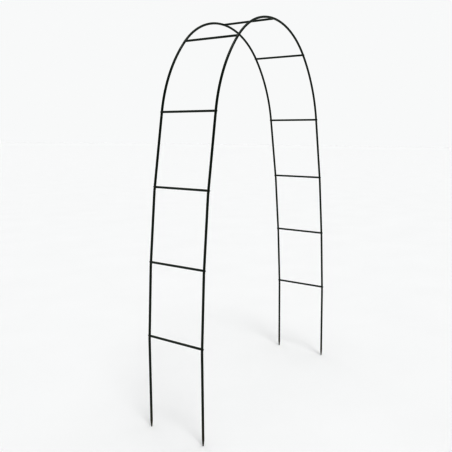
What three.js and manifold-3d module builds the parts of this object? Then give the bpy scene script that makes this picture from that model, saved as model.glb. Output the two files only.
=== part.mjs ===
// A garden trellis arch: two bent tube hoops that stand one behind the other, held apart by eleven rungs.
// Each hoop is twelve push-fit tubes. A tube's swaged neck goes up into the plain end of the tube above it,
// and the screw that holds a rung also passes through that joint and locks it.
//
// Millimetres, +Z up. X runs across the walkway, Y from the front hoop (-Y) to the rear hoop (+Y).
// The origin is midway between the four legs, at the level of their tips.
import * as THREE from "three";
import { mergeVertices } from "three/addons/utils/BufferGeometryUtils.js";
import Module from "manifold-3d";

const wasm = await Module();
wasm.setup();

// ---- Driving dimensions ----
const overallHeight = 2400;
const overallWidth = 1400;
const hoopSpacing = 385; // between the two hoops' centrelines
const archRise = 586; // from the fourth rung up to the top of a hoop's centreline
const crownAngle = 48.6; // degrees of arc from the top of a hoop down to the fifth rung
const firstRungHeight = 545; // above the tips; the soil takes about 120 of it
const legBays = [
  { name: "lower_leg", lean: 3 }, // degrees from upright: a leg bends in a little at each push-fit joint
  { name: "middle_leg", lean: 5.5 },
  { name: "upper_leg", lean: 9 },
];

const tubeDiameter = 13;
const tubeWall = 0.8;
const rungDiameter = 12;
const rungWall = 0.8;

const neckClearance = 0.3; // between a neck and the tube it is pushed into, all round
const neckDepth = 20; // how far a joint reaches above the rung that it carries, and below it
const swageLength = 1.8; // the cone from a tube's full diameter down to its neck
const mouthGap = 2.5; // from the foot of that cone to the mouth of the tube above
const seatGap = 0.3; // between a hoop tube and whatever is screwed against it

const screwDiameter = 4;
const screwLength = 30; // under the head
const screwTipLength = 1.5;
const screwHeadDiameter = 8;
const screwHeadHeight = 2.6;
const screwCrownDiameter = 5.6; // the flat on top of the head
const recessLength = 4.4; // each slot of the cross in the head
const recessWidth = 1.2;
const recessDepth = 1.4;
const screwHoleClearance = 0.3; // all round the shank

const insertLength = 22; // the threaded slug fixed in each end of a rung
const rungEndLand = 0.6; // how far in from a rung's sides its saddle cut begins

const spikeLength = 45;
const spikeTipDiameter = 6;
const spikeTipThickness = 8;

const coating = { color: 0x1b231b, roughness: 0.42, metalness: 0 };
const blacking = { color: 0x34383a, roughness: 0.38, metalness: 1 };

// ---- Facets ----
const tubeFacets = 8;
const holeFacets = 8;
const screwFacets = 8;
const crownSteps = 6;
const shoulderSteps = 5;

// ---- Worked out from the driving dimensions ----
const radians = THREE.MathUtils.degToRad;
const tubeRadius = tubeDiameter / 2;
const boreRadius = tubeRadius - tubeWall;
const neckRadius = boreRadius - neckClearance;
const neckBoreRadius = neckRadius - tubeWall;
const rungRadius = rungDiameter / 2;
const holeRadius = screwDiameter / 2 + screwHoleClearance;
const apexHeight = overallHeight - tubeRadius;
const footHalfWidth = overallWidth / 2 - tubeRadius;
const topLean = radians(legBays[legBays.length - 1].lean);
const bottomLean = radians(legBays[0].lean);

// A leg bends between a neck's cone and the mouth above it, so that a neck is in line with the tube it enters.
const bendDrop = neckDepth + mouthGap / 2; // below the rung

// The bays are equally long and together fill the height between the first rung and the fourth.
const sumOver = (leanValue) => legBays.reduce((sum, bay) => sum + leanValue(radians(bay.lean)), 0);
const baysHeight = apexHeight - archRise - firstRungHeight;
const bendsHeight = bendDrop * (Math.cos(topLean) - Math.cos(bottomLean));
const bayLength = (baysHeight - bendsHeight) / sumOver(Math.cos);
const archHalfWidth = footHalfWidth - bayLength * sumOver(Math.sin) - bendDrop * Math.sin(topLean);

// Above the fourth rung are two arcs, tangent to each other and to the upper leg: a wide shoulder and a tight
// crown. Their radii make the arcs' total run archHalfWidth and their total drop archRise.
const crownEnd = radians(crownAngle);
const shoulderEnd = Math.PI / 2 - topLean;
const crownRun = Math.sin(crownEnd);
const crownDrop = 1 - Math.cos(crownEnd);
const shoulderRun = Math.sin(shoulderEnd) - Math.sin(crownEnd);
const shoulderDrop = Math.cos(crownEnd) - Math.cos(shoulderEnd);
const determinant = crownRun * shoulderDrop - shoulderRun * crownDrop;
const crownRadius = (archHalfWidth * shoulderDrop - archRise * shoulderRun) / determinant;
const shoulderRadius = (archRise * crownRun - archHalfWidth * crownDrop) / determinant;
const crownLength = crownRadius * crownEnd;
const shoulderArcLength = shoulderRadius * (shoulderEnd - crownEnd);

// ---- A hoop's centreline ----
// A distance is measured along the centreline from the top of the hoop: negative down one side, positive down
// the other. rungAt[1] is the lowest rung's distance, rungAt[5] the highest's, and rungAt[6] the ridge rung's.
const rungAt = [];
rungAt[6] = 0;
rungAt[5] = crownLength;
rungAt[4] = crownLength + shoulderArcLength;
for (let level = 3; level >= 1; level -= 1) rungAt[level] = rungAt[level + 1] + bayLength;

// The straight stretches below the arcs, from the top down.
const straights = [
  { from: rungAt[4], lean: topLean },
  { from: rungAt[3] + bendDrop, lean: radians(legBays[1].lean) },
  { from: rungAt[2] + bendDrop, lean: bottomLean },
  { from: rungAt[1] + bendDrop, lean: 0 },
];

// The point at a distance from the top on the +X side, and the direction down the leg there.
function halfCentreline(distance) {
  if (distance <= crownLength) {
    const angle = distance / crownRadius;
    return {
      x: crownRadius * Math.sin(angle),
      z: apexHeight - crownRadius * (1 - Math.cos(angle)),
      dx: Math.cos(angle),
      dz: -Math.sin(angle),
    };
  }
  const angle = Math.min(crownEnd + (distance - crownLength) / shoulderRadius, shoulderEnd);
  const place = {
    x: crownRadius * crownRun + shoulderRadius * (Math.sin(angle) - Math.sin(crownEnd)),
    z: apexHeight - crownRadius * crownDrop - shoulderRadius * (Math.cos(crownEnd) - Math.cos(angle)),
    dx: Math.cos(angle),
    dz: -Math.sin(angle),
  };
  straights.forEach(({ from, lean }, index) => {
    if (distance <= from) return;
    const next = straights[index + 1];
    const run = Math.min(distance, next ? next.from : distance) - from;
    place.dx = Math.sin(lean);
    place.dz = -Math.cos(lean);
    place.x += run * place.dx;
    place.z += run * place.dz;
  });
  return place;
}

function centreline(distance) {
  const half = halfCentreline(Math.abs(distance));
  const side = distance < 0 ? -1 : 1;
  return {
    point: new THREE.Vector3(side * half.x, 0, half.z),
    along: new THREE.Vector3(half.dx, 0, side * half.dz), // towards growing distance
  };
}

// From the top of a hoop to a tip: the last stretch is upright, so it is as long as the height left.
const footStart = straights[straights.length - 1].from;
const tipAt = footStart + halfCentreline(footStart).z;

// ---- Solids ----
// A closed geometry as a solid, with its shared vertices merged and its empty triangles dropped.
function toSolid(geometry) {
  const bare = geometry.clone();
  bare.deleteAttribute("normal");
  bare.deleteAttribute("uv");
  const merged = mergeVertices(bare, 1e-3);
  const index = merged.index.array;
  const triangles = [];
  for (let i = 0; i < index.length; i += 3) {
    const [a, b, c] = [index[i], index[i + 1], index[i + 2]];
    if (a !== b && b !== c && c !== a) triangles.push(a, b, c);
  }
  const vertProperties = merged.attributes.position.array;
  const triVerts = new Uint32Array(triangles);
  return new wasm.Manifold(new wasm.Mesh({ numProp: 3, vertProperties, triVerts }));
}

function toGeometry(solid) {
  const mesh = solid.getMesh();
  const geometry = new THREE.BufferGeometry();
  geometry.setAttribute("position", new THREE.BufferAttribute(mesh.vertProperties, 3));
  geometry.setIndex(new THREE.BufferAttribute(mesh.triVerts, 1));
  geometry.computeVertexNormals();
  return geometry;
}

// Turns a profile of [radius, height] pairs round the Y axis.
function turned(profile, facets) {
  const points = profile.map(([radius, height]) => new THREE.Vector2(radius, height));
  return new THREE.LatheGeometry(points, facets);
}

// Carries a shape turned round the Y axis onto the centreline. Its Y is the height above the tube's lower end,
// which lies at the distance bottom; step is +1 or -1, the way the distance changes as the tube rises.
function bendAlong(geometry, bottom, step) {
  const position = geometry.getAttribute("position");
  const across = new THREE.Vector3(0, 1, 0);
  for (let i = 0; i < position.count; i += 1) {
    const { point, along } = centreline(bottom + step * position.getY(i));
    const outward = along.multiplyScalar(step).cross(across);
    point.addScaledVector(outward, position.getX(i));
    point.addScaledVector(across, position.getZ(i));
    position.setXYZ(i, point.x, point.y, point.z);
  }
  return geometry;
}

// ---- Hoop tubes ----
// One tube, by distances along the centreline: bottom is its plain or spiked lower end, and top the end of its
// full diameter. joints are the rungs whose screws pass through it, the upper one last. A tube with arcSteps
// is bent, and so needs stations between its ends.
function hoopTube({ bottom, top, step, joints, arcSteps, hasNeck, isSpiked }) {
  const heightOf = (distance) => (distance - bottom) * step;
  const bodyLength = heightOf(top);
  const firstStation = isSpiked ? spikeLength : 0;
  const stations = [firstStation, bodyLength];
  if (arcSteps > 0) {
    const arcStart = 2 * neckDepth;
    for (let i = 0; i < arcSteps; i += 1) {
      stations.push(arcStart + ((bodyLength - arcStart) * i) / arcSteps);
    }
    // Both tubes of a joint bend at the same places, so that the neck keeps its clearance.
    joints.map(heightOf).forEach((at) => stations.push(at - neckDepth, at, at + neckDepth));
  }
  const isWithin = (station) => station >= firstStation && station <= bodyLength;
  const sorted = stations.filter(isWithin).sort((a, b) => a - b);
  const body = sorted.filter((station, i) => i === 0 || station - sorted[i - 1] > tubeWall);

  const neckStations = [bodyLength + swageLength];
  if (arcSteps > 0) neckStations.push(heightOf(joints[joints.length - 1]));
  neckStations.push(bodyLength + mouthGap + 2 * neckDepth);

  const profile = [];
  if (isSpiked) profile.push([0, spikeTipThickness], [0, 0], [spikeTipDiameter / 2, 0]);
  body.forEach((station) => profile.push([tubeRadius, station]));
  if (hasNeck) {
    neckStations.forEach((station) => profile.push([neckRadius, station]));
    neckStations.reverse().forEach((station) => profile.push([neckBoreRadius, station]));
  }
  body.reverse().forEach((station) => profile.push([boreRadius, station]));
  profile.push(profile[0]);

  let solid = toSolid(bendAlong(turned(profile, tubeFacets), bottom, step));
  joints.forEach((joint) => {
    const { point } = centreline(joint);
    const drill = new THREE.CylinderGeometry(holeRadius, holeRadius, 2 * tubeDiameter, holeFacets);
    drill.translate(point.x, point.y, point.z);
    solid = solid.subtract(toSolid(drill));
  });
  return toGeometry(solid);
}

// The tubes of one side of a hoop, from the ground up. side is -1 or +1, as the sign of its distances.
function sideTubes(side) {
  const mouthAt = (level) => rungAt[level] + neckDepth;
  const swageAt = (level) => mouthAt(level) + mouthGap;
  const tube = (name, low, high, levels, arcSteps) => ({
    name,
    bottom: side * low,
    top: side * high,
    step: -side,
    joints: levels.map((level) => side * rungAt[level]),
    arcSteps,
    hasNeck: true,
    isSpiked: false,
  });
  const foot = tube("foot", tipAt, swageAt(1), [1], 0);
  foot.isSpiked = true;
  const legs = legBays.map(({ name }, i) => tube(name, mouthAt(i + 1), swageAt(i + 2), [i + 1, i + 2], 0));
  const shoulder = tube("shoulder", mouthAt(4), swageAt(5), [4, 5], shoulderSteps);
  // At the top of the hoop one crown's neck enters the other crown's plain end.
  const hasNeck = side < 0;
  const crown = tube("crown", mouthAt(5), hasNeck ? swageAt(6) : -mouthAt(6), [5, 6], crownSteps);
  crown.hasNeck = hasNeck;
  return [foot, ...legs, shoulder, crown];
}

// ---- Rungs and screws ----
// A rung along Y, centred on the origin, with its ends saddle-cut to sit on hoop tubes that run along Z.
function rungGeometry() {
  const saddleRadius = tubeRadius + seatGap;
  const endHeight = hoopSpacing / 2 - Math.sqrt(saddleRadius ** 2 - (rungRadius - rungEndLand) ** 2);
  const insertHeight = hoopSpacing / 2 - saddleRadius - insertLength;
  const rungBore = rungRadius - rungWall;
  const profile = [
    [rungRadius, -endHeight],
    [rungRadius, endHeight],
    [holeRadius, endHeight],
    [holeRadius, insertHeight],
    [rungBore, insertHeight],
    [rungBore, -insertHeight],
    [holeRadius, -insertHeight],
    [holeRadius, -endHeight],
  ];
  profile.push(profile[0]);
  let solid = toSolid(turned(profile, tubeFacets));
  [-1, 1].forEach((end) => {
    const saddle = new THREE.CylinderGeometry(saddleRadius, saddleRadius, 2 * rungDiameter, tubeFacets);
    saddle.rotateX(Math.PI / 2);
    saddle.translate(0, (end * hoopSpacing) / 2, 0);
    solid = solid.subtract(toSolid(saddle));
  });
  return toGeometry(solid);
}

// A screw along Y: the underside of its head is at the origin and its shank points to -Y.
function screwGeometry() {
  const shank = screwDiameter / 2;
  const head = screwHeadDiameter / 2;
  const profile = [
    [0, -screwLength],
    [shank / 2, -screwLength],
    [shank, screwTipLength - screwLength],
    [shank, 0],
    [head, 0],
    [head, screwHeadHeight / 2],
    [screwCrownDiameter / 2, screwHeadHeight],
    [0, screwHeadHeight],
  ];
  const slot = new THREE.BoxGeometry(recessLength, 2 * recessDepth, recessWidth);
  slot.translate(0, screwHeadHeight, 0);
  const crossSlot = slot.clone().rotateY(Math.PI / 2);
  const recess = toSolid(slot).add(toSolid(crossSlot));
  return toGeometry(toSolid(turned(profile, screwFacets)).subtract(recess));
}

// ---- Assembly ----
const coatedSteel = new THREE.MeshStandardMaterial(coating);
const blackedSteel = new THREE.MeshStandardMaterial(blacking);
const arch = new THREE.Group();

function addMesh(parent, name, geometry, material) {
  const mesh = new THREE.Mesh(geometry, material);
  mesh.name = name;
  parent.add(mesh);
  return mesh;
}

// The front hoop is the rear hoop turned half a turn about Z, so its sides change places.
[
  { end: "rear", y: hoopSpacing / 2, turn: 0, names: ["left", "right"] },
  { end: "front", y: -hoopSpacing / 2, turn: Math.PI, names: ["right", "left"] },
].forEach(({ end, y, turn, names }) => {
  const hoop = new THREE.Group();
  hoop.position.y = y;
  hoop.rotation.z = turn;
  arch.add(hoop);
  [-1, 1].forEach((side, i) => {
    sideTubes(side).forEach((tube) => {
      addMesh(hoop, end + "_" + names[i] + "_" + tube.name, hoopTube(tube), coatedSteel);
    });
  });
});

const rungs = [{ name: "ridge_rung", screwTag: "ridge", distance: rungAt[6] }];
[1, 2, 3, 4, 5].forEach((level) => {
  const distance = rungAt[level];
  rungs.push({ name: "left_rung_" + level, screwTag: "left_" + level, distance: -distance });
  rungs.push({ name: "right_rung_" + level, screwTag: "right_" + level, distance });
});

const rungShape = rungGeometry();
const screwShape = screwGeometry();
const headAt = hoopSpacing / 2 + tubeRadius + seatGap;
rungs.forEach(({ name, screwTag, distance }) => {
  const { point, along } = centreline(distance);
  const level = new THREE.Group();
  level.position.copy(point);
  level.rotation.y = Math.atan2(along.x, along.z);
  arch.add(level);
  addMesh(level, name, rungShape, coatedSteel);
  const rearScrew = addMesh(level, "rear_" + screwTag + "_screw", screwShape, blackedSteel);
  rearScrew.position.y = headAt;
  const frontScrew = addMesh(level, "front_" + screwTag + "_screw", screwShape, blackedSteel);
  frontScrew.position.y = -headAt;
  frontScrew.rotation.x = Math.PI;
});

export default arch;
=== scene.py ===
import math

import bmesh
import bpy
import numpy as np
from mathutils import Matrix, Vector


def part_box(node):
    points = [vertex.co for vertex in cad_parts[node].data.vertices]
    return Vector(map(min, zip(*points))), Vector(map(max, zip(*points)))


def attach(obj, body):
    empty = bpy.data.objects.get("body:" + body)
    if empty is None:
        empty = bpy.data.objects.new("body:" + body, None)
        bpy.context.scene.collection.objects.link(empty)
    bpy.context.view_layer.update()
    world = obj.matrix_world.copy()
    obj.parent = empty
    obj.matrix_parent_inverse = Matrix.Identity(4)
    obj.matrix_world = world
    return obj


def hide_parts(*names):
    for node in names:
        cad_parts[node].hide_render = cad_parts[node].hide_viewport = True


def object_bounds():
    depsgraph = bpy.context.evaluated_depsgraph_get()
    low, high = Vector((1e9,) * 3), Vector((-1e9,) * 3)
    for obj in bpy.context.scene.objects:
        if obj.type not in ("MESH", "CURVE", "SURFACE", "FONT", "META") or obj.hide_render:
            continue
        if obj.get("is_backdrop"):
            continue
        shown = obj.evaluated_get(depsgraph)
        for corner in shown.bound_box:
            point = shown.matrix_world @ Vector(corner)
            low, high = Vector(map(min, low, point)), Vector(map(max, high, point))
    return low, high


# A garden trellis arch of push-fit tube: fine surfaces for the tubes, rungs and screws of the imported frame.
# Metres, +Z up, X across the walkway, Y from the front hoop to the rear hoop.
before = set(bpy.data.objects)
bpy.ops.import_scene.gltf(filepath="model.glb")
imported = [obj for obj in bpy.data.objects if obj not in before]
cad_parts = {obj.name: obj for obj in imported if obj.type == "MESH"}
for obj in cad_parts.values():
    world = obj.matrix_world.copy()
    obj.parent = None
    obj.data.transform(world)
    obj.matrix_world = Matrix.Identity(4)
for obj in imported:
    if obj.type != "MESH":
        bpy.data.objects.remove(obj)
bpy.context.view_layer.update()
scene = bpy.context.scene
print("frame loaded:", len(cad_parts), "nodes")

# Camera.

view = {
    "place": (-2.712, -1.941, 1.651),
    "heading": 60.97,       # degrees from +Y towards +X
    "tilt": -6.51,          # degrees, and below 0 it looks down
    "roll": 0.64,
    "lens": 40.74,
    "shift": (-0.179, -0.0575),
}


def addCamera():
    heading, tilt, roll = (math.radians(view[key]) for key in ("heading", "tilt", "roll"))
    level = np.array([math.cos(heading), -math.sin(heading), 0.0])
    ahead = np.array([math.sin(heading), math.cos(heading), 0.0])
    forward = math.cos(tilt) * ahead + math.sin(tilt) * np.array([0.0, 0.0, 1.0])
    upright = np.cross(level, forward)
    right = math.cos(roll) * level + math.sin(roll) * upright
    up = math.cos(roll) * upright - math.sin(roll) * level
    camera = bpy.data.objects.new("camera", bpy.data.cameras.new("camera"))
    scene.collection.objects.link(camera)
    camera.data.lens = view["lens"]
    camera.data.shift_x, camera.data.shift_y = view["shift"]
    turn = Matrix(np.column_stack([right, up, -forward]).tolist()).to_4x4()
    camera.matrix_world = Matrix.Translation(view["place"]) @ turn
    scene.camera = camera


addCamera()
print("camera placed")

# The hoops' centreline, worked out from where the frame's rungs and feet are.

joint = {
    "depth": 0.020,         # how far a joint reaches above its rung, and below it
    "mouthGap": 0.0025,     # from the foot of the swage's cone to the mouth above
    "swage": 0.0018,        # length of the cone
    "clearance": 0.0003,    # round the neck
    "wall": 0.0008,
    "seat": 0.0003,         # between a hoop tube and what is screwed to it
    "screwHole": 0.0023,    # radius
}


def middle(node):
    low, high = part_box(node)
    return (np.array(low) + np.array(high)) / 2


footLow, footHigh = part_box("rear_right_foot")
tubeRadius = (footHigh.y - footLow.y) / 2
hoopY = (footHigh.y + footLow.y) / 2
rungLow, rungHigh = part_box("ridge_rung")
rungRadius = (rungHigh.z - rungLow.z) / 2
rungLevels = (1, 2, 3, 4, 5)
levels = [middle("right_rung_%d" % level)[[0, 2]] for level in rungLevels]
apexZ = middle("ridge_rung")[2]
footX = footHigh.x - tubeRadius

# The crown's arc is centred under the top and passes through the fifth rung. The shoulder's arc leaves it
# on the same tangent and passes through the fourth.
fifth, fourth = levels[4], levels[3]
crownRise = apexZ - fifth[1]
crownRadius = (fifth[0] ** 2 + crownRise ** 2) / (2 * crownRise)
crownTurn = 2 * math.atan2(crownRise, fifth[0])
chord = fourth - fifth
shoulderTurn = 2 * math.atan2(-chord[1], chord[0]) - crownTurn
shoulderRadius = np.hypot(*chord) / (2 * math.sin((shoulderTurn - crownTurn) / 2))
crownCentre = np.array([0.0, apexZ - crownRadius])
shoulderCentre = fifth - shoulderRadius * np.array([math.sin(crownTurn), math.cos(crownTurn)])
crownEnd = crownRadius * crownTurn
shoulderEnd = crownEnd + shoulderRadius * (shoulderTurn - crownTurn)

# Below the fourth rung the leg is straight between bends, each a little way under its rung.
bendDrop = joint["depth"] + joint["mouthGap"] / 2
corners = [fourth]
for level in (2, 1, 0):
    run = levels[level] - corners[-1]
    corners.append(levels[level] + run / np.hypot(*run) * bendDrop)
corners.append(np.array([footX, 0.0]))
legLengths = [np.hypot(*(b - a)) for a, b in zip(corners, corners[1:])]
legStarts = shoulderEnd + np.concatenate([[0.0], np.cumsum(legLengths)])
tipAt = legStarts[-1]
levelAt = {6: 0.0, 5: crownEnd, 4: shoulderEnd}
levelAt.update({level: legStarts[4 - level] - bendDrop for level in (3, 2, 1)})


def hoopLine(distance):
    # Place and direction at a distance from the top, negative on the left. Either arc is its centre plus
    # its radius * (sin, cos) of the angle turned. Below them each straight length adds its own run.
    reach = np.abs(distance)
    onCrown = reach < crownEnd
    angle = np.where(onCrown, reach / crownRadius, crownTurn + (reach - crownEnd) / shoulderRadius)
    angle = np.minimum(angle, shoulderTurn)
    centre = np.where(onCrown[:, None], crownCentre, shoulderCentre)
    radius = np.where(onCrown, crownRadius, shoulderRadius)
    place = centre + radius[:, None] * np.column_stack([np.sin(angle), np.cos(angle)])
    way = np.column_stack([np.cos(angle), -np.sin(angle)])
    for start, length, a, b in zip(legStarts, legLengths, corners, corners[1:]):
        down = (b - a) / length
        place = place + np.clip(reach - start, 0, length)[:, None] * down
        way = np.where((reach > start)[:, None], down, way)
    side = np.where(distance < 0, -1.0, 1.0)
    depth = np.zeros_like(side)
    place = np.column_stack([side * place[:, 0], depth, place[:, 1]])
    way = np.column_stack([way[:, 0], depth, side * way[:, 1]])
    return place, way


print("hoop line: arcs of %.3f and %.3f m" % (crownRadius, shoulderRadius))
print("from the top to a tip: %.3f m" % tipAt)

# Meshes.

edgeMiddle = 0.3            # how far in the middle of a rounded edge is, as a share of its radius
sharpAngle = 35             # degrees between two faces, past which their edge is drawn sharp
weldReach = 1e-7            # metres


def smoothStep(t):
    t = np.clip(t, 0, 1)
    return t * t * (3 - 2 * t)


def gridFaces(rows, columns, closeRows):
    # Quads between neighbouring rows and columns. Columns go round, and so do the rows of a closed outline.
    row, column = np.meshgrid(np.arange(rows if closeRows else rows - 1), np.arange(columns), indexing="ij")
    nextRow, nextColumn = (row + 1) % rows, (column + 1) % columns
    ring = [(row, column), (row, nextColumn), (nextRow, nextColumn), (nextRow, column)]
    return np.stack([(i * columns + j).ravel() for i, j in ring], -1)


def finishMesh(mesh):
    mesh.update()
    mesh.validate()
    mesh.polygons.foreach_set("use_smooth", np.ones(len(mesh.polygons), bool))
    mesh.set_sharp_from_angle(angle=math.radians(sharpAngle))


def meshPiece(name, points, faces, attributes=None):
    mesh = bpy.data.meshes.new(name)
    mesh.from_pydata(points.reshape(-1, 3), [], faces)
    for key, values in (attributes or {}).items():
        layer = mesh.attributes.new(key, "FLOAT", "POINT")
        layer.data.foreach_set("value", np.ascontiguousarray(values, np.float32).ravel())
    piece = bpy.data.objects.new(name, mesh)
    scene.collection.objects.link(piece)
    finishMesh(mesh)
    return piece


def weldPoles(piece):
    # Merges the rings that have shrunk to a point, then turns every face outwards.
    shell = bmesh.new()
    shell.from_mesh(piece.data)
    bmesh.ops.remove_doubles(shell, verts=shell.verts, dist=weldReach)
    bmesh.ops.recalc_face_normals(shell, faces=shell.faces)
    shell.to_mesh(piece.data)
    shell.free()
    finishMesh(piece.data)


def cutFrom(piece, cutter):
    # Takes the cutter's solid out of the piece and throws the cutter away.
    cut = piece.modifiers.new("cut", "BOOLEAN")
    cut.operation, cut.solver, cut.object = "DIFFERENCE", "EXACT", cutter
    bpy.context.view_layer.update()
    shaped = bpy.data.meshes.new_from_object(piece.evaluated_get(bpy.context.evaluated_depsgraph_get()))
    piece.modifiers.clear()
    piece.data = shaped
    shaped.name = piece.name
    bpy.data.objects.remove(cutter)
    finishMesh(shaped)


# Hoop tubes.

tube = {
    "around": 48,
    "arcStep": 0.010,       # between rings where a tube is bent
    "straightRings": 9,
    "swageRings": 8,
    "leastStep": 0.0008,    # rings nearer than this to the last one are left out
    "drillSides": 32,
    "edge": 0.00022,        # rounding of a cut end
    "spike": 0.045,
    "spikeTip": 0.003,      # radius
    "spikeFloor": 0.008,    # thickness of the closed end
    "spikeBulge": 1.15,     # 1 is a quarter of a sine wave, and more is straighter
    "spikeRings": 14,
    "holeRings": (0.0036, 0.0072, 0.0108),      # heights of rings either side of a screw hole
    "wearReach": 0.006,     # how far nicks spread from the end of a tube
}


def ringStations(low, high, isBent, jointHeights):
    # Heights of the rings between a tube's ends: close together on an arc, and close by each screw hole.
    count = max(2, int((high - low) / tube["arcStep"])) if isBent else tube["straightRings"]
    nearHole = np.array(tube["holeRings"])
    stations = [np.linspace(low, high, count)]
    for height in jointHeights:
        stations += [height - nearHole, height + nearHole]
    stations = np.unique(np.round(np.concatenate(stations), 6))
    stations = stations[(stations >= low) & (stations <= high)]
    return stations[np.concatenate([[True], np.diff(stations) > tube["leastStep"]])]


def spikeOutline():
    # From the middle of the flat tip, over a rounding three edges wide, and out to the tube's full radius,
    # which grows as a power of a sine.
    tip, edge, length = tube["spikeTip"], tube["edge"], tube["spike"]
    t = np.linspace(0, 1, tube["spikeRings"])
    growth = np.sin(t * math.pi / 2) ** tube["spikeBulge"]
    cone = np.column_stack([tip + (tubeRadius - tip) * growth, edge + t * (length - edge)])
    return [np.array([[0.0, 0.0], [tip - 3 * edge, 0.0], [tip - edge, 0.4 * edge]]), cone]


def neckOutline(length, isBent, jointHeights):
    # The swage's cone in from the tube's radius to the neck's, up the neck, and back down a wall inside it.
    wall, edge = joint["wall"], tube["edge"]
    neck = tubeRadius - wall - joint["clearance"]
    top = length + joint["mouthGap"] + 2 * joint["depth"]
    t = np.linspace(0, 1, tube["swageRings"] + 1)[1:]
    cone = np.column_stack([tubeRadius + (neck - tubeRadius) * smoothStep(t), length + t * joint["swage"]])
    first = length + joint["swage"] + tube["leastStep"]
    rings = ringStations(first, top - edge, isBent, jointHeights)
    outside = np.column_stack([np.full(len(rings), neck), rings])
    rim = np.array([[neck - edge, top], [neck - wall + edge, top]])
    return [cone, outside, rim, outside[::-1] - [wall, 0.0], cone[::-1] - [wall, 0.0]]


def tubeOutline(length, jointHeights, isBent, hasNeck, isSpiked):
    # Closed outline of (radius, height): up the outside, over the upper end, and down the inside.
    edge = tube["edge"]
    bevel = edgeMiddle * edge
    bore = tubeRadius - joint["wall"]
    if isSpiked:
        outline = spikeOutline()
        low = tube["spike"] + tubeRadius / 3
    else:
        mouth = [[bore + edge, 0.0], [tubeRadius - edge, 0.0], [tubeRadius - bevel, bevel]]
        outline = [np.array(mouth)]
        low = edge
    body = ringStations(low, length if hasNeck else length - edge, isBent, jointHeights)
    outline.append(np.column_stack([np.full(len(body), tubeRadius), body]))
    if hasNeck:
        outline += neckOutline(length, isBent, jointHeights)
    else:
        rim = [[tubeRadius - bevel, length - bevel], [tubeRadius - edge, length], [bore + edge, length]]
        outline.append(np.array(rim))
    outline.append(np.column_stack([np.full(len(body), bore), body[::-1]]))
    if isSpiked:
        outline.append(np.array([[bore, tube["spike"]], [0.0, tube["spikeFloor"]]]))
    return np.concatenate(outline)


def drill(place):
    # A round bar along Y through a tube at place.
    sides = tube["drillSides"]
    turn = np.linspace(0, 2 * math.pi, sides, endpoint=False)
    ring = joint["screwHole"] * np.column_stack([np.sin(turn), np.zeros(sides), np.cos(turn)])
    reach = np.array([0.0, 2 * tubeRadius, 0.0])
    ends = [list(range(sides))[::-1], list(range(sides, 2 * sides))]
    bar = meshPiece("drill", np.concatenate([place - reach + ring, place + reach + ring]),
                    gridFaces(2, sides, False).tolist() + ends)
    weldPoles(bar)
    return bar


def hoopTube(name, y, bottom, top, side, jointAt, isBent, hasNeck, isSpiked):
    # Each outline point becomes a ring: centreline + radius * (outward * sin + across * cos). Distances along
    # the hoop fall on the way up the right side, and rise on the way up the left.
    step = -side
    heights = [(at - bottom) * step for at in jointAt]
    length = (top - bottom) * step
    outline = tubeOutline(length, heights, isBent, hasNeck, isSpiked)
    centre, direction = hoopLine(bottom + step * outline[:, 1])
    across = np.array([0.0, 1.0, 0.0])
    outward = np.cross(direction * step, across)
    turn = np.linspace(0, 2 * math.pi, tube["around"], endpoint=False)[None, :, None]
    ring = outward[:, None] * np.sin(turn) + across * np.cos(turn)
    points = centre[:, None] + outline[:, :1, None] * ring + across * y
    fromEnd = np.minimum(np.abs(outline[:, 1]), np.abs(outline[:, 1] - length))
    wear = np.repeat(np.exp(-fromEnd / tube["wearReach"]), tube["around"])
    piece = meshPiece(name, points, gridFaces(len(outline), tube["around"], not isSpiked), {"wear": wear})
    weldPoles(piece)
    for place in hoopLine(np.array(jointAt))[0]:
        cutFrom(piece, drill(place + across * y))
    return piece


def mouthAt(level):
    return levelAt[level] + joint["depth"]


def swageAt(level):
    return mouthAt(level) + joint["mouthGap"]


tubeRuns = [
    # name, lower end, upper end, levels of its screws
    ("foot", tipAt, swageAt(1), (1,)),
    ("lower_leg", mouthAt(1), swageAt(2), (1, 2)),
    ("middle_leg", mouthAt(2), swageAt(3), (2, 3)),
    ("upper_leg", mouthAt(3), swageAt(4), (3, 4)),
    ("shoulder", mouthAt(4), swageAt(5), (4, 5)),
    ("crown", mouthAt(5), swageAt(6), (5, 6)),
]
sides = (("left", -1), ("right", 1))

coated, blacked = [], []
for end, y, neckSide in (("front", -hoopY, 1), ("rear", hoopY, -1)):
    # At the top one crown's neck enters the other: the right one's in front, and the left one's behind.
    for sideName, side in sides:
        for name, low, high, tubeLevels in tubeRuns:
            hasNeck = name != "crown" or side == neckSide
            top = high if hasNeck else -mouthAt(6)
            screwsAt = [side * levelAt[level] for level in tubeLevels]
            isBent = name in ("shoulder", "crown")
            isSpiked = name == "foot"
            node = "%s_%s_%s" % (end, sideName, name)
            piece = hoopTube("fine_" + node, y, side * low, side * top, side, screwsAt,
                             isBent, hasNeck, isSpiked)
            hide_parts(node)
            coated.append(piece)
print("hoop tubes made:", len(coated))

# Rungs.

rung = {
    "around": 48,
    "wall": 0.0008,
    "insert": 0.022,        # length of the threaded slug in each end
    "edge": 0.0002,
    "crimpAt": 0.0125,      # the rolled groove that holds the slug, from the end
    "crimpWidth": 0.0026,
    "crimpDepth": 0.00045,
    "crimpRings": 13,
    "plainRings": 7,        # from the middle to a groove
}


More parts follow.
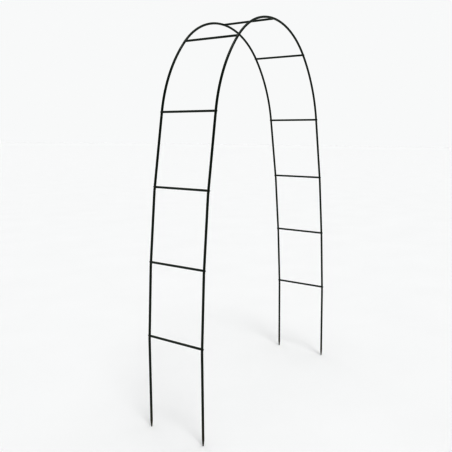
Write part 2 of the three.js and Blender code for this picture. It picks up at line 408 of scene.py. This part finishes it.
def rungOutline():
    # Half of a closed outline of (radius, place along Y): the plain bar from its middle, then the rolled
    # groove, whose depth is a squared cosine. The end's own rings follow, with places from the saddle cut,
    # then the bore.
    flush = hoopY - tubeRadius - joint["seat"]
    edge, hole = rung["edge"], joint["screwHole"]
    bevel = edgeMiddle * edge
    crimp = flush - rung["crimpAt"]
    t = np.linspace(-1, 1, rung["crimpRings"])
    groove = rungRadius - rung["crimpDepth"] * np.cos(t * math.pi / 2) ** 2
    plain = np.linspace(0, crimp - rung["crimpWidth"], rung["plainRings"])
    outside = np.concatenate([
        np.column_stack([np.full_like(plain, rungRadius), plain]),
        np.column_stack([groove, crimp + t * rung["crimpWidth"] / 2]),
    ])
    cutEnd = np.array([
        [rungRadius, -3 * edge],
        [rungRadius - bevel, -bevel],
        [rungRadius - edge, 0.0],
        [(rungRadius + hole) / 2, 0.0],
        [hole + edge, 0.0],
        [hole, -edge],
    ])
    bore = flush - rung["insert"]
    inside = np.array([[hole, bore], [rungRadius - rung["wall"], bore]])
    return outside, cutEnd, inside


def saddleReach(radius, turn):
    # How far out the saddle cut lets a rung reach: half the hoops' spacing less the square root of
    # saddle ^ 2 - x ^ 2, with x = radius * cos.
    saddle = tubeRadius + joint["seat"]
    return hoopY - np.sqrt(saddle ** 2 - (radius * np.cos(turn)) ** 2)


def rungPiece(name, level, side):
    # Rings of the outline round Y, the end's own moved onto the saddle. The other half is the mirror of it.
    turn = np.linspace(0, 2 * math.pi, rung["around"], endpoint=False)[None]
    outside, cutEnd, inside = rungOutline()
    ring = np.zeros_like(turn)
    radius = np.concatenate([outside, cutEnd, inside])[:, :1] + ring
    saddle = saddleReach(cutEnd[:, :1], turn) + cutEnd[:, 1:]
    along = np.concatenate([outside[:, 1:] + ring, saddle, inside[:, 1:] + ring])
    radius = np.concatenate([radius, radius[:0:-1]])    # the middle's ring is shared by both halves
    along = np.concatenate([along, -along[:0:-1]])
    place, direction = (found[0] for found in hoopLine(np.array([side * levelAt[level]])))
    outward = np.cross(direction, [0.0, 1.0, 0.0])
    across = (radius * np.cos(turn))[..., None] * outward
    down = (radius * np.sin(turn))[..., None] * direction
    points = place + across + down
    points[..., 1] += along
    wear = np.exp(-(hoopY - tubeRadius - np.abs(along)) / tube["wearReach"])
    piece = meshPiece(name, points, gridFaces(len(along), rung["around"], True), {"wear": wear})
    weldPoles(piece)
    return piece


rungNames = [("ridge_rung", 6, 1)]
for name, side in sides:
    rungNames += [("%s_rung_%d" % (name, level), level, side) for level in rungLevels]
for node, level, side in rungNames:
    piece = rungPiece("fine_" + node, level, side)
    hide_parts(node)
    coated.append(piece)
print("rungs made:", len(rungNames))

# Screws.

screw = {
    "around": 48,
    "shank": 0.002,         # radius
    "threadDepth": 0.0003,
    "pitch": 0.0007,
    "threadLength": 0.022,
    "ringsPerTurn": 4,
    "length": 0.030,
    "runOut": 0.0012,       # where the thread fades into the shank, and the taper at the point
    "point": 0.55,          # radius there, as a share of the thread's core
    "head": 0.004,          # radius
    "headHeight": 0.0026,
    "headSide": 0.0011,     # the upright part of the head's edge
    "headEdge": 0.0002,
    "domeRings": 14,
    "domeBulge": 0.7,       # 1 is a quarter of an ellipse, and less is fuller at the edge
    "recessMouth": (0.0027, 0.00063),   # half the length and half the width of a slot, just above the head
    "recessFloor": (0.0008, 0.00033),
    "recessDepth": 0.0015,
    "twistStep": 2.4,       # radians from one screw's cross to the next one's
}


def threadOutline(turn):
    # Radii on a grid of rings and turns: the core, plus a triangle wave of height / pitch - turn, which
    # fades out at the point and into the plain shank.
    low, high = -screw["length"], screw["threadLength"] - screw["length"]
    rows = int(screw["threadLength"] / screw["pitch"] * screw["ringsPerTurn"])
    height = np.linspace(low, high, rows)[:, None]
    wave = np.abs(2 * ((height / screw["pitch"] - turn / (2 * math.pi)) % 1.0) - 1)
    rise = smoothStep((height - low) / screw["runOut"])
    fill = smoothStep((height - high) / screw["runOut"] + 1)
    core = screw["shank"] - screw["threadDepth"] * (1 - fill)
    taper = screw["point"] + (1 - screw["point"]) * rise
    return core * taper + wave * screw["threadDepth"] * rise * (1 - fill), height


def headOutline():
    # (radius, height) from the plain shank out under the head, up its edge, and over an arc to the axis.
    shank, head, edge, side = screw["shank"], screw["head"], screw["headEdge"], screw["headSide"]
    t = np.linspace(0, 1, screw["domeRings"])
    width = head * np.cos(t * math.pi / 2) ** screw["domeBulge"]
    dome = np.column_stack([width, side + (screw["headHeight"] - side) * np.sin(t * math.pi / 2)])
    dome[-1, 0] = 0.0
    neck = [[shank, -2 * shank], [shank, -edge], [shank + edge, 0.0], [head - edge, 0.0], [head, edge]]
    return np.concatenate([neck, dome])


def crossCutter(isTurned):
    # One slot of the cross in the head, a wedge that narrows towards its floor. The other slot is the same
    # wedge at a quarter turn.
    floor = screw["headHeight"] - screw["recessDepth"]
    mouth = screw["headHeight"] + screw["recessDepth"]
    corners = []
    for y, (a, b) in ((floor, screw["recessFloor"]), (mouth, screw["recessMouth"])):
        corners += [(a, y, b), (-a, y, b), (-a, y, -b), (a, y, -b)]
    corners = np.array(corners)
    if isTurned:
        corners = corners[:, [2, 1, 0]] * [1, 1, -1]
    walls = [[i, i + 4, (i + 1) % 4 + 4, (i + 1) % 4] for i in range(4)]
    cutter = meshPiece("cross", corners, [[0, 1, 2, 3], [7, 6, 5, 4]] + walls)
    weldPoles(cutter)
    return cutter


def screwMesh():
    # Along +Y, with the head's underside at 0.
    turn = np.linspace(0, 2 * math.pi, screw["around"], endpoint=False)[None]
    threadRadius, threadHeight = threadOutline(turn)
    head = headOutline()
    ring = np.zeros_like(turn)
    radius = np.concatenate([ring, threadRadius, head[:, :1] + ring])
    height = np.concatenate([threadHeight[:1], threadHeight, head[:, 1:]]) + ring
    points = np.stack([radius * np.sin(turn), height, radius * np.cos(turn)], -1)
    piece = meshPiece("screw", points, gridFaces(len(radius), screw["around"], False))
    weldPoles(piece)
    for isTurned in (False, True):
        cutFrom(piece, crossCutter(isTurned))
    mesh = piece.data
    bpy.data.objects.remove(piece)
    return mesh


screwShape = screwMesh()
screwPoints = np.zeros(len(screwShape.vertices) * 3)
screwShape.vertices.foreach_get("co", screwPoints)
screwPoints = screwPoints.reshape(-1, 3)


def screwPiece(name, level, side, endSign, twist):
    # The screw's own shape, twisted about its axis and turned to point in from the hoop's outer face.
    mesh = screwShape.copy()
    place, up = (found[0] for found in hoopLine(np.array([side * levelAt[level]])))
    out = np.array([0.0, float(endSign), 0.0])
    sideways = np.cross(out, up)
    x = screwPoints[:, :1] * math.cos(twist) + screwPoints[:, 2:] * math.sin(twist)
    z = screwPoints[:, 2:] * math.cos(twist) - screwPoints[:, :1] * math.sin(twist)
    seat = place + out * (hoopY + tubeRadius + joint["seat"])
    points = seat + x * sideways + screwPoints[:, 1:2] * out + z * up
    mesh.vertices.foreach_set("co", points.astype(np.float32).ravel())
    mesh.update()
    piece = bpy.data.objects.new(name, mesh)
    scene.collection.objects.link(piece)
    return piece


for index, (node, level, side) in enumerate(rungNames):
    tag = node.replace("_rung", "")
    for endName, endSign in (("front", -1), ("rear", 1)):
        screwNode = "%s_%s_screw" % (endName, tag)
        twist = screw["twistStep"] * index + endSign
        piece = screwPiece("fine_" + screwNode, level, side, endSign, twist)
        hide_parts(screwNode)
        blacked.append(piece)
print("screws made:", len(blacked))

# Materials.


class Socket:
    # A shader socket in an expression: each operator adds its Math node.
    def __init__(self, shader, socket):
        self.shader, self.socket = shader, socket

    def join(self, operation, first, second):
        return self.shader.node("ShaderNodeMath", {"operation": operation}, {0: first, 1: second})

    def __add__(self, other):
        return self.join("ADD", self, other)

    def __mul__(self, other):
        return self.join("MULTIPLY", self, other)

    def __rsub__(self, other):
        return self.join("SUBTRACT", other, self)

    __radd__, __rmul__ = __add__, __mul__


class Shader:
    # The node tree of a material or a world.
    def __init__(self, owner):
        owner.use_nodes = True
        self.owner, self.tree = owner, owner.node_tree
        self.tree.nodes.clear()

    def node(self, kind, settings=None, inputs=None, output=0):
        # Adds a node, makes its settings, then fills its sockets with values or links.
        made = self.tree.nodes.new(kind)
        for key, value in (settings or {}).items():
            setattr(made, key, value)
        for key, value in (inputs or {}).items():
            if isinstance(value, Socket):
                self.tree.links.new(value.socket, made.inputs[key])
            else:
                made.inputs[key].default_value = value
        return Socket(self, made.outputs[output]) if made.outputs else None

    def place(self):
        return self.node("ShaderNodeTexCoord", output="Object")

    def heightOf(self, vector):
        return self.node("ShaderNodeSeparateXYZ", None, {0: vector}, output="Z")

    def noise(self, scale, detail=3.0, roughness=0.5):
        sockets = {"Vector": self.place(), "Scale": scale, "Detail": detail, "Roughness": roughness}
        return self.node("ShaderNodeTexNoise", None, sockets)

    def between(self, value, low, high):
        # 0 below low, 1 above high, smooth in between.
        sockets = {"Value": value, "From Min": low, "From Max": high}
        return self.node("ShaderNodeMapRange", {"interpolation_type": "SMOOTHSTEP"}, sockets)

    def mix(self, factor, first, second):
        sockets = {"Factor": factor, 6: first, 7: second}
        return self.node("ShaderNodeMix", {"data_type": "RGBA"}, sockets, output=2)

    def bump(self, height, distance, strength):
        sockets = {"Strength": strength, "Distance": distance, "Height": height}
        return self.node("ShaderNodeBump", None, sockets)

    def layered(self, value, shares, masks):
        # The value plus each mask times its share.
        for name, share in shares.items():
            value = value + share * masks[name]
        return value

    def finish(self, sockets):
        surface = self.node("ShaderNodeBsdfPrincipled", None, sockets)
        self.node("ShaderNodeOutputMaterial", None, {"Surface": surface})
        return self.owner


coat = {
    "green": (0.0050, 0.0150, 0.0062, 1.0),
    "fadedAndSheen": (0.011, 0.024, 0.0125, 1.0),
    "dustAndSheen": (0.17, 0.165, 0.14, 1.0),
    "soil": (0.12, 0.086, 0.053, 1.0),
    "steel": (0.30, 0.295, 0.28, 1.0),
    "rust": (0.17, 0.066, 0.026, 1.0),
    "gloss": 0.3,
    "roughness": 0.22,
    "roughBy": {"patches": 0.08, "grit": 0.05, "dustAndSheen": 0.2, "soil": 0.35, "rust": 0.25},
    "peelHeight": 0.00006,
    "peelStrength": 0.6,
    "raisedBy": {"grit": 0.10, "soil": 0.5, "rust": -0.8},      # shares of the orange peel's height
    # Noises: scale, whose features are about 1 / scale metres across, detail and roughness.
    "patches": (9.0, 4.0),
    "peel": (620.0, 1.5),
    "grit": (2600.0, 2.0),
    "specks": (420.0, 4.0, 0.62),
    # Masks rise from nothing to all between the two ends of a band.
    "fadeAndSheenBand": (0.45, 1.0),
    "fadeAndSheenOnTop": 0.35,      # how much sooner it turns the lighter green where it faces up: sun fading plus painted sheen
    # Dust on what faces up, partly real and partly a painted sheen for the light from above.
    "dustAndSheenSlope": (0.25, 1.0),
    "dustBand": (0.62, 0.95),
    "dustSpecks": 0.5,
    "dustAndSheenAmount": 0.35,
    "splashTop": 0.30,      # soil is splashed up to here
    "soilBand": (0.64, 0.94),
    "soilLow": 0.16,        # how much thicker it is at the tip
    "soilPatches": 0.2,
    "soilAmount": 0.55,
    "soilFilm": 0.10,       # an even film under the specks
    "nickWear": 0.23,       # how much likelier a nick is at the mouth of a tube
    "rustBand": (0.84, 0.87),
    "bareBand": (0.88, 0.91),
    "brightBand": (0.35, 0.6),
    "metallic": 0.8,        # of bare steel
}


def powderCoat():
    # Orange-peel gloss that fades and gathers dust on top, where it is also lighter as a painted sheen from
    # the light above. It is splashed with soil low down, and nicked to rusty steel by the mouths of the
    # tubes.
    shader = Shader(bpy.data.materials.new("dark green powder coat"))
    patches = shader.noise(*coat["patches"])
    peel = shader.noise(*coat["peel"])
    grit = shader.noise(*coat["grit"])
    specks = shader.noise(*coat["specks"])
    up = shader.heightOf(shader.node("ShaderNodeNewGeometry", output="Normal"))
    wear = shader.node("ShaderNodeAttribute", {"attribute_name": "wear"}, output="Fac")
    low = 1 - shader.between(shader.heightOf(shader.place()), 0.0, coat["splashTop"])
    # Fading in patches, sooner where it faces up, which is partly painted sheen from the light above.
    fadedAndSheen = shader.between(patches + coat["fadeAndSheenOnTop"] * up, *coat["fadeAndSheenBand"])
    dusty = shader.between(patches + coat["dustSpecks"] * specks, *coat["dustBand"])
    # Dust where it faces up, partly real and partly painted sheen from the light above.
    dustAndSheen = shader.between(up, *coat["dustAndSheenSlope"]) * dusty
    splash = specks + coat["soilLow"] * low + coat["soilPatches"] * patches
    soil = low * shader.between(splash, *coat["soilBand"])
    nick = wear * coat["nickWear"] + specks
    rusty = shader.between(nick, *coat["rustBand"])
    bare = shader.between(nick, *coat["bareBand"])
    bright = bare * shader.between(grit, *coat["brightBand"])
    colour = shader.mix(fadedAndSheen, coat["green"], coat["fadedAndSheen"])
    colour = shader.mix(dustAndSheen * coat["dustAndSheenAmount"], colour, coat["dustAndSheen"])
    colour = shader.mix(soil * coat["soilAmount"] + coat["soilFilm"] * low * low, colour, coat["soil"])
    colour = shader.mix(rusty, colour, coat["rust"])
    colour = shader.mix(bright, colour, coat["steel"])
    masks = {"patches": patches, "grit": grit, "dustAndSheen": dustAndSheen, "soil": soil, "rust": rusty}
    relief = shader.layered(peel, coat["raisedBy"], masks)
    return shader.finish({
        "Base Color": colour,
        "Roughness": shader.layered(coat["roughness"], coat["roughBy"], masks),
        "Metallic": coat["metallic"] * bare,
        "Normal": shader.bump(relief, coat["peelHeight"], coat["peelStrength"]),
        "Specular IOR Level": coat["gloss"],
    })


black = {
    "dark": (0.022, 0.023, 0.024, 1.0),
    "rubbed": (0.16, 0.16, 0.165, 1.0),
    "rust": (0.11, 0.045, 0.02, 1.0),
    "roughness": 0.26,
    "roughBy": {"blotch": 0.18, "grain": 0.1},
    "blotch": (420.0, 4.0),     # noises: scale and detail
    "grain": (3800.0, 2.0),
    "grainHeight": 0.00004,
    "grainStrength": 0.35,
    "rubBand": (0.57, 0.66),    # 0.5 is a flat face, and more is a sharper edge
    "rubBlotch": 0.08,
    "rustBand": (0.62, 0.74),
    "rustAmount": 0.6,
    "metallic": 0.85,
}


def blackedSteel():
    # Black oxide, rubbed bright along the edges, with a little rust in blotches.
    shader = Shader(bpy.data.materials.new("blackened screw steel"))
    blotch = shader.noise(*black["blotch"])
    grain = shader.noise(*black["grain"])
    edges = shader.node("ShaderNodeNewGeometry", output="Pointiness")
    rubbed = shader.between(edges + black["rubBlotch"] * blotch, *black["rubBand"])
    rusty = shader.between(blotch, *black["rustBand"]) * black["rustAmount"]
    colour = shader.mix(rubbed, black["dark"], black["rubbed"])
    colour = shader.mix(rusty, colour, black["rust"])
    masks = {"blotch": blotch, "grain": grain}
    return shader.finish({
        "Base Color": colour,
        "Roughness": shader.layered(black["roughness"], black["roughBy"], masks),
        "Metallic": black["metallic"],
        "Normal": shader.bump(grain, black["grainHeight"], black["grainStrength"]),
    })


finishes = [(coated, powderCoat(), "coated_steel"), (blacked, blackedSteel(), "screw_steel")]
for pieces, material, slot in finishes:
    for piece in pieces:
        piece.data.materials.clear()
        piece.data.materials.append(material)
        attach(piece, "root")
print("materials made")

# Floor and light.

studio = {
    "gamma": 0.7,           # of the picture: below 1 it deepens the dark tones
    "floor": (0.89, 0.89, 0.885, 1.0),
    "floorShade": (0.865, 0.865, 0.86, 1.0),
    "floorScale": 1.5,
    "floorRoughness": 0.85,
    "floorSize": 400.0,
    "backdrop": (0.958, 0.963, 0.964, 1.0),    # what the camera sees behind the arch
    "horizonLight": (0.10, 0.10, 0.105, 1.0),   # what lights it from low down, and from overhead
    "zenithLight": (0.60, 0.61, 0.62, 1.0),
    # name: azimuth from -Y towards +X, height above the floor, softness (all in degrees), strength
    "suns": {
        "key": (-30, 62, 14, 1.10),
        "top": (0, 85, 40, 0.90),
        "fill": (60, 40, 45, 0.30),
        "back": (160, 45, 25, 0.30),
        "leftStrip": (-140, 6, 8, 0.30),    # low down, for a streak along the upright tubes
        "rightStrip": (45, 8, 8, 0.22),
    },
}


def addFloor():
    half = studio["floorSize"] / 2
    corners = np.array([[-half, -half, 0.0], [half, -half, 0.0], [half, half, 0.0], [-half, half, 0.0]])
    floor = meshPiece("floor", corners, [[0, 1, 2, 3]])
    shader = Shader(bpy.data.materials.new("pale floor"))
    tone = shader.mix(shader.noise(studio["floorScale"]), studio["floor"], studio["floorShade"])
    sockets = {"Base Color": tone, "Roughness": studio["floorRoughness"], "Specular IOR Level": 0.0}
    floor.data.materials.append(shader.finish(sockets))
    floor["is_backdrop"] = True


def addSky():
    # Pale where the camera sees it. As a light it is dim near the horizon, so that the upright tubes stay
    # dark, and grows with the square of a direction's height.
    scene.world = bpy.data.worlds.new("studio")
    shader = Shader(scene.world)
    seen = shader.node("ShaderNodeLightPath", output="Is Camera Ray")
    height = shader.heightOf(shader.node("ShaderNodeTexCoord", output="Generated"))
    light = shader.mix(height * height, studio["horizonLight"], studio["zenithLight"])
    colour = shader.mix(seen, light, studio["backdrop"])
    surface = shader.node("ShaderNodeBackground", None, {"Color": colour})
    shader.node("ShaderNodeOutputWorld", None, {"Surface": surface})


def addSuns():
    # Distant soft lights.
    for name, (azimuth, height, softness, strength) in studio["suns"].items():
        sun = bpy.data.objects.new(name, bpy.data.lights.new(name, "SUN"))
        sun.data.angle, sun.data.energy = math.radians(softness), strength
        sun.rotation_euler = (math.radians(90 - height), 0.0, math.radians(azimuth))
        scene.collection.objects.link(sun)


addFloor()
addSky()
addSuns()
scene.view_settings.view_transform = "Standard"
scene.view_settings.gamma = studio["gamma"]
print("floor and lights placed")

low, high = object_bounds()
